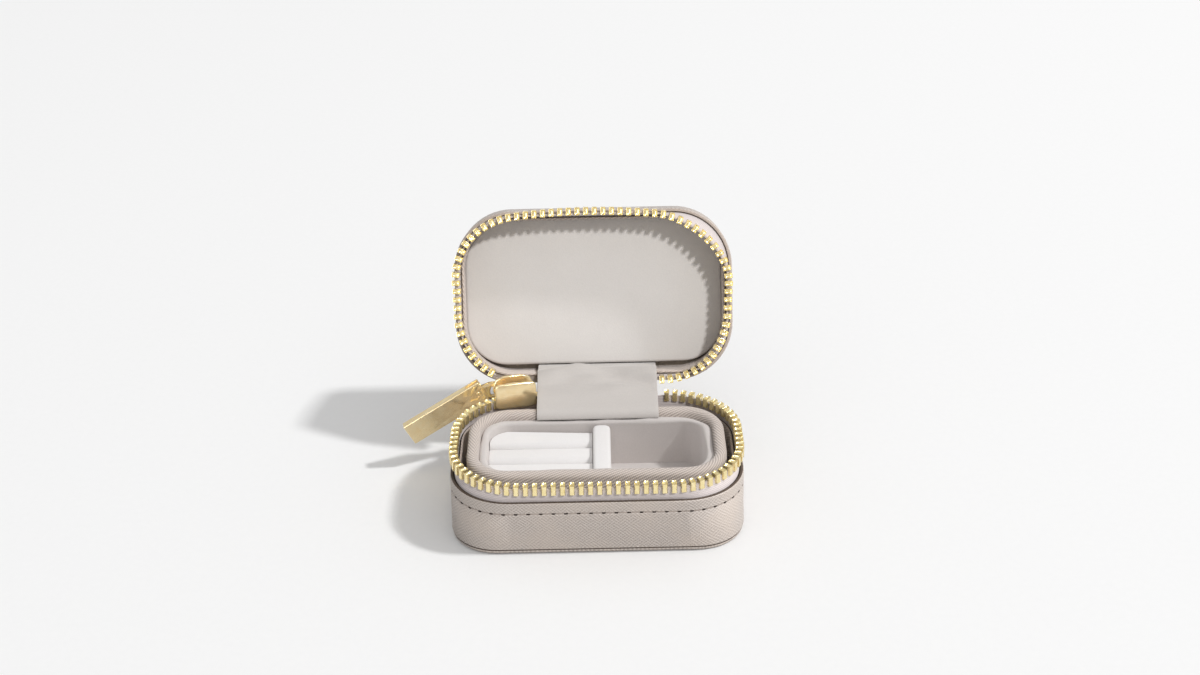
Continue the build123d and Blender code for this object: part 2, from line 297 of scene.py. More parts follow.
def outline_place(outline, distance):
    """Point and turn on an outline, by distance from the middle of the back, going left."""
    half_x, half_y, radius = outline
    flat_x, flat_y = half_x - radius, half_y - radius
    quarter = math.pi * radius / 2
    corners = [(-flat_x, flat_y), (-flat_x, -flat_y), (flat_x, -flat_y), (flat_x, flat_y)]
    runs = [flat_x, 2 * flat_y, 2 * flat_x, 2 * flat_y, flat_x]
    for side, run in enumerate(runs):
        turn = math.pi / 2 * side
        if distance <= run or side == 4:
            start = corners[side - 1] if side else (0, flat_y)
            along = Vector((-math.cos(turn), -math.sin(turn))) * distance
            out = Vector((-math.sin(turn), math.cos(turn))) * radius
            return Vector(start) + along + out, turn
        distance -= run
        if distance <= quarter:
            turn += distance / radius
            return Vector(corners[side]) + Vector((-math.sin(turn), math.cos(turn))) * radius, turn
        distance -= quarter


def outline_length(outline):
    """Distance all round an outline."""
    half_x, half_y, radius = outline
    return 4 * (half_x - radius) + 4 * (half_y - radius) + 2 * math.pi * radius


def inset_of(x, y, outline):
    """How far a point lies inside an outline."""
    half_x, half_y, radius = outline
    across, along = abs(x) - (half_x - radius), abs(y) - (half_y - radius)
    if across > 0 and along > 0:
        return radius - math.hypot(across, along)
    return min(half_x - abs(x), half_y - abs(y))


def unroll(ob, outline, high):
    """Gives a wall a UV map in millimetres: along its outline, and up and over its rim."""
    half_x, half_y, radius = outline
    flat_x, flat_y = half_x - radius, half_y - radius
    length, quarter = outline_length(outline), math.pi / 2 * radius
    layer = ob.data.uv_layers.active or ob.data.uv_layers.new(name="UVMap")

    def along(x, y):
        ax, ay = abs(x), abs(y)
        if ax > flat_x and ay > flat_y:
            part = flat_x + math.atan2(ax - flat_x, ay - flat_y) * radius
        elif ay - half_y > ax - half_x:
            part = ax
        else:
            part = flat_x + quarter + flat_y - ay
        if y < 0:
            part = 2 * (flat_x + quarter + flat_y) - part
        return part if x < 0 else length - part

    for face in ob.data.polygons:
        way, centre = face.normal, face.center
        inner = way.x * centre.x / half_x + way.y * centre.y / half_y < -0.3
        points = [ob.data.vertices[ob.data.loops[i].vertex_index].co for i in face.loop_indices]
        values = [along(p.x, p.y) for p in points]
        wraps = max(values) - min(values) > length / 2
        for i, point, u in zip(face.loop_indices, points, values):
            if wraps and u < length / 2:
                u += length
            depth = inset_of(point.x, point.y, outline)
            v = 2 * high - point.z + depth if inner else point.z + depth
            layer.data[i].uv = (u, v)


def flat_map(ob, across, up):
    """Gives a flat piece a UV map in millimetres, along two of its axes."""
    layer = ob.data.uv_layers.active or ob.data.uv_layers.new(name="UVMap")
    for loop in ob.data.loops:
        point = ob.data.vertices[loop.vertex_index].co
        layer.data[loop.index].uv = (point[across], point[up])


def ready(ob, name, finish, body, nodes, matrix=None, angle=40.0):
    """Takes a modelled piece to its place and its body, in metres, with its finish."""
    metres = Matrix.Scale(MM, 4)
    place(ob, metres @ matrix if matrix else metres)
    ob.name = ob.data.name = name
    bpy.ops.object.shade_smooth_by_angle(angle=math.radians(angle))
    for one in [finish] if isinstance(finish, bpy.types.Material) else finish:
        ob.data.materials.append(one)
    if body:
        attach(ob, body)
    if nodes:
        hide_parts(*nodes)
    return ob


# ------------------------------------------------------------------ finishes
# Patterns on a UV map are scaled per millimetre, and patterns on Object coordinates per metre.
ONE_RIDGE = 0.314159          # scale at which a wave texture has one ridge per unit
HATCH = 0.74                  # pitch of the leather's hatch, coarse enough to show


def add(tree, kind, values=None, links=None, **settings):
    """Adds one shader node with its own settings, socket values and links."""
    made = tree.nodes.new("ShaderNode" + kind)
    for key, value in settings.items():
        setattr(made, key, value)
    for socket, value in (values or {}).items():
        made.inputs[socket].default_value = value
    for socket, source in (links or {}).items():
        tree.links.new(source, made.inputs[socket])
    return made


def blank(name):
    """An empty material, and its nodes."""
    made = bpy.data.materials.get(name) or bpy.data.materials.new(name)
    made.use_nodes = True
    made.node_tree.nodes.clear()
    return made, made.node_tree


def surface(tree, colour, relief=None, depth=0.0, links=None, **values):
    """Ends a material: its colour, its relief, some millimetres deep, and its shader's numbers."""
    links = {"Base Color": colour, **(links or {})}
    if depth:
        raised = add(tree, "Bump", {"Strength": 1.0, "Distance": depth * MM}, {"Height": relief})
        links["Normal"] = raised.outputs["Normal"]
    shader = add(tree, "BsdfPrincipled", {k.replace("_", " "): v for k, v in values.items()}, links)
    add(tree, "OutputMaterial", links={"Surface": shader.outputs["BSDF"]})


def bands(tree, uv, pitch, turn, bend=0.0, grain=1.0):
    """Parallel ridges of one pitch in millimetres, turned by some degrees."""
    turned = add(tree, "Mapping", {"Rotation": (0, 0, math.radians(turn))}, {"Vector": uv})
    return add(tree, "TexWave", {"Scale": ONE_RIDGE / pitch, "Distortion": bend, "Detail": 2.0,
                                 "Detail Scale": grain}, {"Vector": turned.outputs["Vector"]},
               wave_type="BANDS", bands_direction="X").outputs["Fac"]


def saffiano():
    """Calf leather, embossed with a fine diagonal cross-hatch and sealed.

    The hatch gives small bright and dark diamonds, and the seal a low even gloss.
    """
    made, tree = blank("saffiano_embossed_leather")
    uv = add(tree, "TexCoord").outputs["UV"]
    one = bands(tree, uv, HATCH, 50, bend=3.0, grain=0.8)
    two = bands(tree, uv, HATCH, -50, bend=3.0, grain=0.8)
    # In patches about 2 mm wide, one slant or the other stands out.
    patch = add(tree, "TexNoise", {"Scale": 0.55, "Detail": 2.0}, {"Vector": uv}).outputs["Fac"]
    turn = add(tree, "MapRange", {1: 0.42, 2: 0.58}, {0: patch}).outputs[0]
    either = add(tree, "Mix", links={0: turn, 2: one, 3: two}).outputs[0]
    both = add(tree, "Math", links={0: one, 1: two}, operation="MAXIMUM").outputs[0]
    hatch = add(tree, "Mix", {0: 0.4}, {2: either, 3: both}).outputs[0]
    # The hide's own grain, about 1 mm wide, shows through the hatch.
    grain = add(tree, "TexNoise", {"Scale": 0.9, "Detail": 6.0, "Roughness": 0.65}, {"Vector": uv})
    shade = add(tree, "Mix", {0: 0.3}, {2: hatch, 3: grain.outputs["Fac"]}).outputs[0]
    dye = add(tree, "Mix", {6: linear("867c75"), 7: linear("b4aba4")}, {0: shade}, data_type="RGBA")
    # In clouds about 12 mm wide, the dye is a little warmer.
    cloud = add(tree, "TexNoise", {"Scale": 0.08, "Detail": 3.0}, {"Vector": uv}).outputs["Fac"]
    warm = add(tree, "MapRange", {1: 0.42, 2: 0.62, 4: 0.35}, {0: cloud}).outputs[0]
    tone = add(tree, "Mix", {7: linear("afa297")}, {0: warm, 6: dye.outputs[2]}, data_type="RGBA")
    surface(tree, tone.outputs[2], shade, 0.11, Roughness=0.45, Coat_Weight=0.2, Coat_Roughness=0.3)
    return made


def twill(name="cotton_twill", dark="7f746d", light="c9beb6", pitch=0.85, turn=58):
    """Woven cotton twill: slanting ribs of thread that catch the light on one side."""
    made, tree = blank(name)
    uv = add(tree, "TexCoord").outputs["UV"]
    ribs = bands(tree, uv, pitch, turn, bend=0.6, grain=0.6)
    threads = bands(tree, uv, pitch * 0.62, turn - 76, bend=0.8, grain=0.6)
    weave = add(tree, "Mix", {0: 0.25}, {2: ribs, 3: threads}).outputs[0]
    # Loose fibres, about 0.4 mm long.
    fibre = add(tree, "TexNoise", {"Scale": 2.4, "Detail": 4.0}, {"Vector": uv}).outputs["Fac"]
    shade = add(tree, "Mix", {0: 0.3}, {2: weave, 3: fibre}).outputs[0]
    colour = add(tree, "Mix", {6: linear(dark), 7: linear(light)}, {0: shade}, data_type="RGBA")
    surface(tree, colour.outputs[2], shade, 0.2, Roughness=0.85, Sheen_Weight=0.25)
    return made


def tape_weave():
    """Woven polyester zip tape: fine cords along it, crossed by the weft."""
    made, tree = blank("woven_zip_tape")
    uv = add(tree, "TexCoord").outputs["UV"]
    cords = bands(tree, uv, 0.5, 90, bend=0.3)
    weft = bands(tree, uv, 0.42, 0, bend=0.5)
    weave = add(tree, "Mix", {0: 0.4}, {2: cords, 3: weft}).outputs[0]
    colour = add(tree, "Mix", {6: linear("a89e9c"), 7: linear("cfc6c4")}, {0: weave}, data_type="RGBA")
    surface(tree, colour.outputs[2], weave, 0.06, Roughness=0.7, Sheen_Weight=0.2)
    return made


def napped(name, dark, light, grain, depth, sheen):
    """A brushed cloth with a short nap: cloudy where the fibres lie differently."""
    made, tree = blank(name)
    where = add(tree, "TexCoord").outputs["Object"]
    fibre = add(tree, "TexNoise", {"Scale": 1 / (grain * MM), "Detail": 5.0, "Roughness": 0.6},
                {"Vector": where}).outputs["Fac"]
    cloud = add(tree, "TexNoise", {"Scale": 1 / (9 * MM), "Detail": 3.0}, {"Vector": where})
    shade = add(tree, "Mix", {0: 0.25}, {2: fibre, 3: cloud.outputs["Fac"]}).outputs[0]
    colour = add(tree, "Mix", {6: linear(dark), 7: linear(light)}, {0: shade}, data_type="RGBA")
    surface(tree, colour.outputs[2], fibre, depth, Roughness=0.95, Sheen_Weight=sheen,
            Sheen_Roughness=0.5)
    return made


def gold(name="polished_gold_plate", dark="ecd09c", light="fbedc6", rough=0.17):
    """Brass with a light gold plate, polished: bright, with faint waves in its roughness."""
    made, tree = blank(name)
    where = add(tree, "TexCoord").outputs["Object"]
    wave = add(tree, "TexNoise", {"Scale": 1 / (1.6 * MM), "Detail": 3.0}, {"Vector": where})
    wave = wave.outputs["Fac"]
    colour = add(tree, "Mix", {6: linear(dark), 7: linear(light)}, {0: wave}, data_type="RGBA")
    gloss = add(tree, "MapRange", {3: rough - 0.05, 4: rough + 0.08}, {0: wave})
    surface(tree, colour.outputs[2], wave, 0.02, {"Roughness": gloss.outputs[0]}, Metallic=0.85)
    return made


def flecked(name, dark, light, width, detail=2.0, depth=0.0, **values):
    """A dull finish that wanders between two colours, in flecks of one width in millimetres."""
    made, tree = blank(name)
    where = add(tree, "TexCoord").outputs["Object"]
    fleck = add(tree, "TexNoise", {"Scale": 1 / (width * MM), "Detail": detail}, {"Vector": where})
    fleck = fleck.outputs["Fac"]
    colour = add(tree, "Mix", {6: linear(dark), 7: linear(light)}, {0: fleck}, data_type="RGBA")
    surface(tree, colour.outputs[2], fleck, depth, **values)
    return made


FINISHES = {
    "leather": saffiano,
    # Cut edge of the leather: a thin stained line, pale on the lid; on the base it is near-black,
    # partly stain and partly painted shade for the thin shadow line along the edge.
    "base_edge": lambda: flecked("burnished_leather_edge", "32271f", "54463c", 0.5, 3.0,
                                 Roughness=0.6),
    "lid_edge": lambda: flecked("worn_leather_edge", "85786e", "a89c93", 0.5, 3.0, Roughness=0.6),
    "twill": twill,
    "lining": lambda: twill("lining_twill", "9a8c83", "cdc0b6", 0.75, 62),
    "suede": lambda: napped("brushed_suede_cloth", "b9b4b0", "cdc9c5", 0.35, 0.03, 0.3),
    # The stay is of the lid panel's suede, painted darker: painted shade, standing in for the shade
    # the stay lies in, since the front light also reaches it.
    "stay": lambda: napped("brushed_stay_suede", "9d9894", "b3aeaa", 0.35, 0.04, 0.3),
    "tray": lambda: napped("brushed_tray_suede", "c9c2be", "ddd7d4", 0.35, 0.03, 0.4),
    "velvet": lambda: napped("white_cotton_velvet", "e6e3e1", "f7f5f5", 0.28, 0.05, 0.4),
    "gold": gold,
    "teeth": lambda: gold("gold_plated_zip_teeth", "e0c985", "fbefc4", 0.18),
    "tape": tape_weave,
    # Twisted polyester thread: its twist shows as light and dark flecks. Its colour is darker than the
    # thread's own: painted shade for the thin shadow line along the stitches.
    "thread": lambda: flecked("twisted_sewing_thread", "83766e", "ab9f96", 0.35, 2.0, 0.05,
                              Roughness=0.55, Sheen_Weight=0.3),
    # The inside of a needle hole, in its own shadow.
    "needle": lambda: flecked("needle_hole_leather", "1c1512", "3a2e28", 0.3, Roughness=1.0),
    # Grey board, pressed from waste paper: flecked and dull.
    "card": lambda: flecked("pressed_grey_board", "8f867b", "b9afa3", 0.8, 6.0, 0.05, Roughness=0.9),
    # A sheet of matt white background paper.
    "floor": lambda: flecked("matt_white_paper", "f4f4f4", "f7f7f7", 2.0, 4.0, Roughness=0.9,
                             Specular_IOR_Level=0.1),
}
made_finishes = {}


def finish(name):
    """A finish by name, made once."""
    if name not in made_finishes:
        made_finishes[name] = FINISHES[name]()
    return made_finishes[name]


# ------------------------------------------------------------------ leather shell
def outer(vertex):
    """Whether a vertex lies on the outer face of the shell."""
    return inset_of(vertex.co.x, vertex.co.y, OUTLINE) < SKIN


def wall_cover(end):
    """Leather round the wall: a pressed line for the stitches, and the edge turned over the board."""
    low = end + END_LEATHER
    ob = ring("wall_cover", OUTLINE, LEATHER, low, RIM)
    cut(Z, RIM - LEATHER)
    pick(ob, "FACE", lambda f: f.calc_center_median().z > RIM - LEATHER and abs(f.normal.z) < 0.5
         and (f.calc_center_median().xy.dot(f.normal.xy)) < 0)
    bpy.ops.mesh.extrude_region_shrink_fatten(
        TRANSFORM_OT_shrink_fatten={"value": LINING_OUT - LEATHER})
    pick(ob, "FACE", lambda f: f.normal.z > 0.9
         and inset_of(*f.calc_center_median().xy, OUTLINE) > LEATHER)
    bpy.ops.mesh.inset(thickness=0.02, use_even_offset=True)
    bpy.ops.transform.translate(value=(0, 0, -0.75))
    for drop in (-0.4, 0, 0.4):
        cut(Z, STITCH_Z + drop)
    pick(ob, "VERT", lambda v: abs(v.co.z - STITCH_Z) < 0.01 and outer(v))
    bpy.ops.transform.shrink_fatten(value=-0.34)
    pick(ob, "EDGE", lambda e: level(RIM)(e) and outer(e.verts[0]))
    soften(0.42, 3)
    pick(ob, "EDGE", lambda e: level(low)(e) and outer(e.verts[0]))
    soften(0.35, 3)
    close(ob)
    unroll(ob, OUTLINE, RIM)
    # The cut edge gets the second finish: its stain, with painted shade on the base.
    edge_stain_and_shade(ob, lambda c: c.z > RIM - LEATHER and inset_of(c.x, c.y, OUTLINE) > 0.28)
    return ob


def squarer(ob, end):
    """Draws the corners out towards the end, where the leather is pulled tight over its board."""
    flat_x, flat_y = HALF_X - RADIUS, HALF_Y - RADIUS
    tight = LID_CORNER if end else BASE_CORNER
    middle = Vector((RADIUS - tight, RADIUS - tight))
    for vertex in ob.data.vertices:
        co = vertex.co
        way = Vector((abs(co.x) - flat_x, abs(co.y) - flat_y))
        if min(way) <= 0:
            continue
        unit = way.normalized()
        if min(unit) / max(unit) * RADIUS < middle.x:
            reach = RADIUS / max(unit)
        else:
            along = unit.dot(middle)
            reach = along + math.sqrt(along ** 2 - middle.length_squared + tight ** 2)
        share = held((RIM - 1 - co.z) / (RIM - 2 - end)) ** 1.4
        grown = way * (1 + (reach / RADIUS - 1) * share)
        co.x = math.copysign(flat_x + grown.x, co.x)
        co.y = math.copysign(flat_y + grown.y, co.y)
    return ob


def edge_stain_and_shade(ob, test):
    """Gives the cut edge of the leather, where a test finds it, the second finish: its stain, darkened
    on the base as painted shade.
    """
    for face in ob.data.polygons:
        face.material_index = 1 if test(face.center) else 0


def end_cover(end):
    """Leather of the bottom or of the lid's top, its edge rounded over."""
    ob = block("end_cover", inward(OUTLINE, 0.3), end, end + END_LEATHER)
    pick(ob, "EDGE", level(end))
    soften(0.7, 4)
    pick(ob, "EDGE", level(end + END_LEATHER))
    soften(0.4, 2)
    close(ob)
    flat_map(ob, X, Y)
    edge_stain_and_shade(ob, lambda c: c.z > end + 1.0)
    return ob


def wall_lining(end):
    """Twill on the inside of the wall."""
    ob = ring("wall_lining", inward(OUTLINE, LINING_OUT), LINING_IN - LINING_OUT, end + END, RIM)
    pick(ob, "EDGE", level(RIM))
    soften(0.18, 2)
    close(ob)
    unroll(ob, OUTLINE, RIM)
    return ob


def seam(pitch, start, depth):
    """Places along the stitch line, one pitch apart and some way into the leather."""
    length = outline_length(OUTLINE)
    count = round(length / pitch)
    places = []
    for i in range(count):
        point, turn = outline_place(OUTLINE, length * (i + start) / count)
        spot = shift(point.x, point.y, STITCH_Z)
        places.append(spot @ Matrix.Rotation(turn, 4, "Z") @ shift(y=-depth))
    return places


def copies(one, places):
    """Copies of a small shape, each with its own mesh, at these matrices."""
    made = []
    for matrix in places:
        twin = one.copy()
        twin.data = one.data.copy()
        bpy.context.scene.collection.objects.link(twin)
        made.append(place(twin, matrix))
    bpy.data.objects.remove(one)
    return made


def stitches(pitch):
    """Thread that dips into the leather at each end of every stitch."""
    ob = cube("stitch", (-1.3, -0.2, -0.16), (1.3, 0.16, 0.16))
    for x in (-0.9, 0, 0.9):
        cut(X, x)
    pick(ob, "VERT", lambda v: abs(v.co.x) > 1.2)
    bpy.ops.transform.translate(value=(0, -0.22, 0))
    pick(ob, "EDGE", lambda e: abs(e.verts[0].co.x - e.verts[1].co.x) > 0.1)
    soften(0.1, 2)
    close(ob)
    return join("stitches", copies(ob, seam(pitch, 0.5, 0.27)))


def needle_holes(pitch):
    """A small dark pit at each end of the stitches."""
    bpy.ops.object.select_all(action="DESELECT")
    bpy.ops.mesh.primitive_uv_sphere_add(segments=10, ring_count=6, radius=0.3)
    ob = bpy.context.object
    bpy.ops.object.mode_set(mode="EDIT")
    bpy.ops.transform.resize(value=(1.9, 0.5, 0.85))
    close(ob)
    return join("needle_holes", copies(ob, seam(pitch, 0.0, 0.17)))


# ------------------------------------------------------------------ zip
def to_zip_line(co, share):
    """Takes a point of the shell's outline a share of the way to the zip's rounder one."""
    flat_x, flat_y = HALF_X - RADIUS, HALF_Y - RADIUS
    zip_flat_x, zip_flat_y = ZIP_X - ZIP_RADIUS, ZIP_Y - ZIP_RADIUS
    ax, ay = abs(co.x), abs(co.y)
    out = ZIP_RADIUS + TAPE_OUT + TAPE / 2 - inset_of(co.x, co.y, OUTLINE)
    if ax > flat_x and ay > flat_y:
        angle = math.atan2(ay - flat_y, ax - flat_x)
        ax, ay = zip_flat_x + out * math.cos(angle), zip_flat_y + out * math.sin(angle)
    elif ax > flat_x:
        ax, ay = zip_flat_x + out, ay / flat_y * zip_flat_y
    else:
        ax, ay = ax / flat_x * zip_flat_x, zip_flat_y + out
    co.x += (math.copysign(ax, co.x) - co.x) * share
    co.y += (math.copysign(ay, co.y) - co.y) * share


def rounder(co, side, share=1.0):
    """Relaxes the open lid's zip: arched and twisted in front, drawn in at the back.

    Side is 1 for a point still in the base's place, and -1 for its mirror image.  The arch and
    the draw are less on the side where the slider runs.
    """
    front, twist = held((4 - co.y) / 22), held((-3 - co.y) / 15)
    back = math.sin(math.pi * held((co.y + 8) / 30))
    by_slider = side * co.x < 0
    dip, draw = (0.8, 0.1) if by_slider else (1.4, 0.9)
    co.y -= share * front * front * (3 - 2 * front) * 1.5 * (0.5 - min(dip, (co.x / 24) ** 2))
    drawn = math.copysign(back, co.x) * draw * min(1.0, (co.x / 34) ** 2)
    co.x -= share * (drawn + side * 1.3 * twist)


def zip_tape(first, last, relaxed=False):
    """Tape from the leather's edge up to the teeth, open at the back."""
    low, high = RIM - 0.3, TOOTH_TOP - 1.5
    ob = ring("zip_tape", inward(OUTLINE, TAPE_OUT), TAPE, low, high)
    for axis, at in ((Z, RIM), (Z, (RIM + high) / 2), (X, first), (X, last)):
        cut(axis, at)
    pick(ob, "FACE", lambda f: f.calc_center_median().y > 0
         and first < f.calc_center_median().x < last)
    bpy.ops.mesh.delete(type="FACE")
    for side in (-1, 1):
        pick(ob, "EDGE", lambda e: e.is_boundary and e.verts[0].co.x * side > 0)
        bpy.ops.mesh.fill()
    close(ob)
    unroll(ob, OUTLINE, high)
    for vertex in ob.data.vertices:
        share = max(0.0, (vertex.co.z - RIM) / (high - RIM))
        to_zip_line(vertex.co, share)
        if relaxed:
            rounder(vertex.co, -1, share)
    return ob


def tooth():
    """One zip tooth: a dimpled head, and two legs that grip the tape."""
    low, high = TOOTH_TOP - 2.9, TOOTH_TOP
    ob = cube("tooth", (-0.95, -1.35, high - 1.2), (0.95, 1.35, high))
    for y in (-0.3, 0.3):
        cut(Y, y)
    pick(ob, "FACE", lambda f: f.normal.z < -0.9)
    bpy.ops.transform.resize(value=(0.62, 0.9, 1))
    pick(ob, "FACE", lambda f: f.normal.z < -0.9 and abs(f.calc_center_median().y) > 0.35)
    extrude(-0.25)
    extrude(low - high + 1.45)
    bpy.ops.transform.resize(value=(1.3, 1, 1))
    pick(ob, "FACE", lambda f: f.normal.z > 0.9)
    bpy.ops.transform.resize(value=(0.76, 0.84, 1))
    bpy.ops.mesh.inset(thickness=0.28)
    bpy.ops.transform.translate(value=(0, 0, -0.6))
    close(ob)
    break_edges(ob, 0.13, 1, 50)
    return ob


def zip_teeth(start, end, pitch, mirror=1):
    """Teeth along the zip's line, from one distance to another."""
    places = []
    for i in range(int((end - start) / pitch) + 1):
        point, turn = outline_place(ZIP_LINE, start + i * pitch)
        if mirror < 0:
            rounder(point, 1)
        places.append(shift(mirror * point.x, point.y) @ Matrix.Rotation(mirror * turn, 4, "Z"))
    return join("zip_teeth", copies(tooth(), places))


# ------------------------------------------------------------------ insert
COLLAR = (36.2, 18.1, 12.0)
TRAY = inward(COLLAR, 3.4)
ROOM = inward(TRAY, 2.3)
COLLAR_TOP = PARTING - 1.3
TRAY_TOP = COLLAR_TOP - 1.9
ROOM_FLOOR = END + 1.2
DIVIDER = (-1.0, 4.0)


def collar_cover():
    """Twill rolled over the collar."""
    ob = ring("collar", COLLAR, 3.4, END, COLLAR_TOP, steps=12)
    pick(ob, "EDGE", level(COLLAR_TOP))
    soften(1.5, 6)
    close(ob)
    unroll(ob, COLLAR, COLLAR_TOP)
    return ob


def tray_liner():
    """Suede cloth over the tray: its rim, and the walls and floor of its room."""
    ob = block("tray", TRAY, END, TRAY_TOP, steps=12)
    pick(ob, "FACE", lambda f: f.normal.z > 0.9)
    bpy.ops.mesh.inset(thickness=2.3, use_even_offset=True)
    extrude(ROOM_FLOOR - TRAY_TOP)
    pick(ob, "EDGE", level(TRAY_TOP))
    soften(0.95, 5)
    pick(ob, "EDGE", level(ROOM_FLOOR))
    soften(0.6, 3)
    close(ob)
    return supple(ob, 0.7, 7.0, lambda co: co.z > ROOM_FLOOR + 3)


def divider():
    """Velvet tongue between the rolls and the open room."""
    half, high = ROOM[1] - CLEAR, TRAY_TOP - 0.7
    ob = cube("divider", (DIVIDER[0], -half, ROOM_FLOOR), (DIVIDER[1], half, high))
    pick(ob, "EDGE", upright)
    soften(1.7, 5)
    pick(ob, "EDGE", level(high))
    soften(0.9, 4)
    return close(ob)


def ring_roll(number):
    """One velvet roll, D-shaped, that a ring's band is pushed in beside."""
    pitch = 2 * (ROOM[1] - CLEAR) / 3
    middle = (number - 1) * pitch
    half, low, high = (pitch - CLEAR) / 2, ROOM_FLOOR + 2.6, TRAY_TOP - 2.5
    left, right = CLEAR - ROOM[0], DIVIDER[0] - CLEAR
    ob = cube("roll", (left, middle - half, low), (right, middle + half, high))
    if number != 1:
        side = 1 if number == 2 else -1
        pick(ob, "EDGE", lambda e: upright(e) and e.verts[0].co.x < left + 1
             and (e.verts[0].co.y - middle) * side > 0)
        soften(ROOM[2] - CLEAR, 7)
    pick(ob, "EDGE", lambda e: level(high)(e) and abs(e.verts[0].co.x - e.verts[1].co.x) > 5)
    soften(half * 0.62, 7)
    close(ob)
    break_edges(ob, 0.4, 3, 50)
    return ob


def floor_pad():
    """Suede cloth over thin foam on the floor of the open room."""
    half_x, half_y, radius = inward(ROOM, -0.25)    # its edge is tucked under the walls
    high = ROOM_FLOOR + 1.2
    ob = cube("pad", (DIVIDER[1] - 0.25, -half_y, ROOM_FLOOR), (half_x, half_y, high))
    pick(ob, "EDGE", lambda e: upright(e) and e.verts[0].co.x > half_x - 1)
    soften(radius, 7)
    pick(ob, "EDGE", level(high))
    soften(0.2, 2)
    return close(ob)


# ------------------------------------------------------------------ lid panel and hinge
def lid_panel():
    """Padded suede panel of the lid, its edge rolled and its face a little crowned."""
    low = PARTING - LID_HEIGHT + END + 1.4    # on its card
    high = low + 3.2
    half, front, radius = inward(OUTLINE, LINING_IN - CLEAR)
    back = HALF_Y - LINING_IN - 1.8
    ob = cube("panel", (-half, -front, low), (half, back, high))
    pick(ob, "EDGE", lambda e: upright(e) and e.verts[0].co.y < 0)
    soften(radius, 14)
    pick(ob, "EDGE", lambda e: upright(e) and e.verts[0].co.y > back - 0.1)
    soften(12.0, 12)
    pick(ob, "EDGE", level(high))
    soften(0.9, 4)
    for inset, rise in ((2.0, 0.09), (3.0, 0.07), (3.4, 0.04)):
        pick(ob, "FACE", lambda f: f.normal.z > 0.99 and len(f.verts) > 8)
        bpy.ops.mesh.inset(thickness=inset, use_even_offset=True)
        bpy.ops.transform.translate(value=(0, 0, rise))
    close(ob)
    return supple(ob, 0.25, 12.0, step=5.0)


def eased(points, rounds=3):
    """A path with its corners cut, again and again, until it is smooth."""
    for _ in range(rounds):
        cuts = [points[0]]
        for a, b in zip(points, points[1:]):
            cuts += [a.lerp(b, 0.25), a.lerp(b, 0.75)]
        points = cuts + [points[-1]]
    return points


def along_path(points, count):
    """Evenly spaced points and directions on a path."""
    lengths = [0.0]
    for a, b in zip(points, points[1:]):
        lengths.append(lengths[-1] + (b - a).length)
    made, i = [], 0
    for step in range(count + 1):
        want = lengths[-1] * step / count
        while i < len(points) - 2 and lengths[i + 1] < want:
            i += 1
        share = (want - lengths[i]) / max(lengths[i + 1] - lengths[i], 1e-9)
        made.append((points[i].lerp(points[i + 1], share), (points[i + 1] - points[i]).normalized()))
    return made, lengths[-1]


def strap(name, path, width, middle, thickness, across=28, along=56, ripple=None):
    """A band of sheet, as wide as X says, that follows a path in Y and Z."""
    points = eased([Vector((0, y, z)) for y, z in path])
    steps, length = along_path(points, along)
    bpy.ops.object.select_all(action="DESELECT")
    bpy.ops.mesh.primitive_grid_add(x_subdivisions=across, y_subdivisions=along, size=1)
    ob = bpy.context.object
    ob.name = ob.data.name = name
    layer = ob.data.uv_layers.active
    for loop in ob.data.loops:
        co = ob.data.vertices[loop.vertex_index].co
        layer.data[loop.index].uv = (co.x * width, co.y * length)
    for vertex in ob.data.vertices:
        share, x = vertex.co.y + 0.5, vertex.co.x * width
        spot, way = steps[min(along, round(share * along))]
        out = Vector((0, -way.z, way.y))
        rise = ripple(x, share) if ripple else 0.0
        vertex.co = Vector((middle + x, spot.y, spot.z)) + out * rise
    modify(ob, "SOLIDIFY", thickness=thickness, offset=0.0)
    break_edges(ob, thickness * 0.3, 2, 50)
    return ob, length


def stay_path():
    """From behind the lid's panel, over the lid's edge and the collar, into the tray."""
    back = HALF_Y - LINING_IN - 1.1
    face = PARTING + LID_HEIGHT - END - 4.8
    rim = opened(HALF_Y - LINING_IN, LID_RIM)
    return [opened(back, face + 2.0), opened(back, face - 0.2), opened(back, face - 1.6),
            (rim[0] + 1.6, rim[1] + 0.75), (rim[0] - 0.4, rim[1] + 1.1), (rim[0] - 2.6, rim[1] + 0.75),
            (COLLAR[1] + 2.2, COLLAR_TOP + 1.5), (COLLAR[1] - 0.6, COLLAR_TOP + 0.85),
            (TRAY[1] + 1.2, COLLAR_TOP + 0.75), (TRAY[1] - 0.3, COLLAR_TOP + 0.3),
            (TRAY[1] - 1.05, COLLAR_TOP - 0.7), (TRAY[1] - 1.1, TRAY_TOP + 0.3)]


def stay_ripple(x, share):
    """Faint creases across the stay, where it has been folded."""
    fade = math.sin(math.pi * held((share - 0.08) / 0.64))
    depth = 0.16 * (0.5 + noise.noise(Vector((x * 0.08, 1, share * 9))))
    crease = depth * math.sin(share * 40 + 0.8 * math.sin(x * 0.13))
    return fade * (0.3 + crease + 2.6 * noise.noise(Vector((x * 0.09, share * 5, 3.1))))


def spine_path():
    """Up from the base's edge, round behind the hinge, to the lid's edge."""
    y = HALF_Y - 0.45
    return [(y, RIM + 0.02), (y, RIM + 1.4), (y + 0.3, RIM + 3.6), (y + 1.2, PARTING - 0.4),
            opened(y - 0.4, PARTING + 3.2), opened(y, PARTING + 4.6), opened(y, LID_RIM - 0.02)]


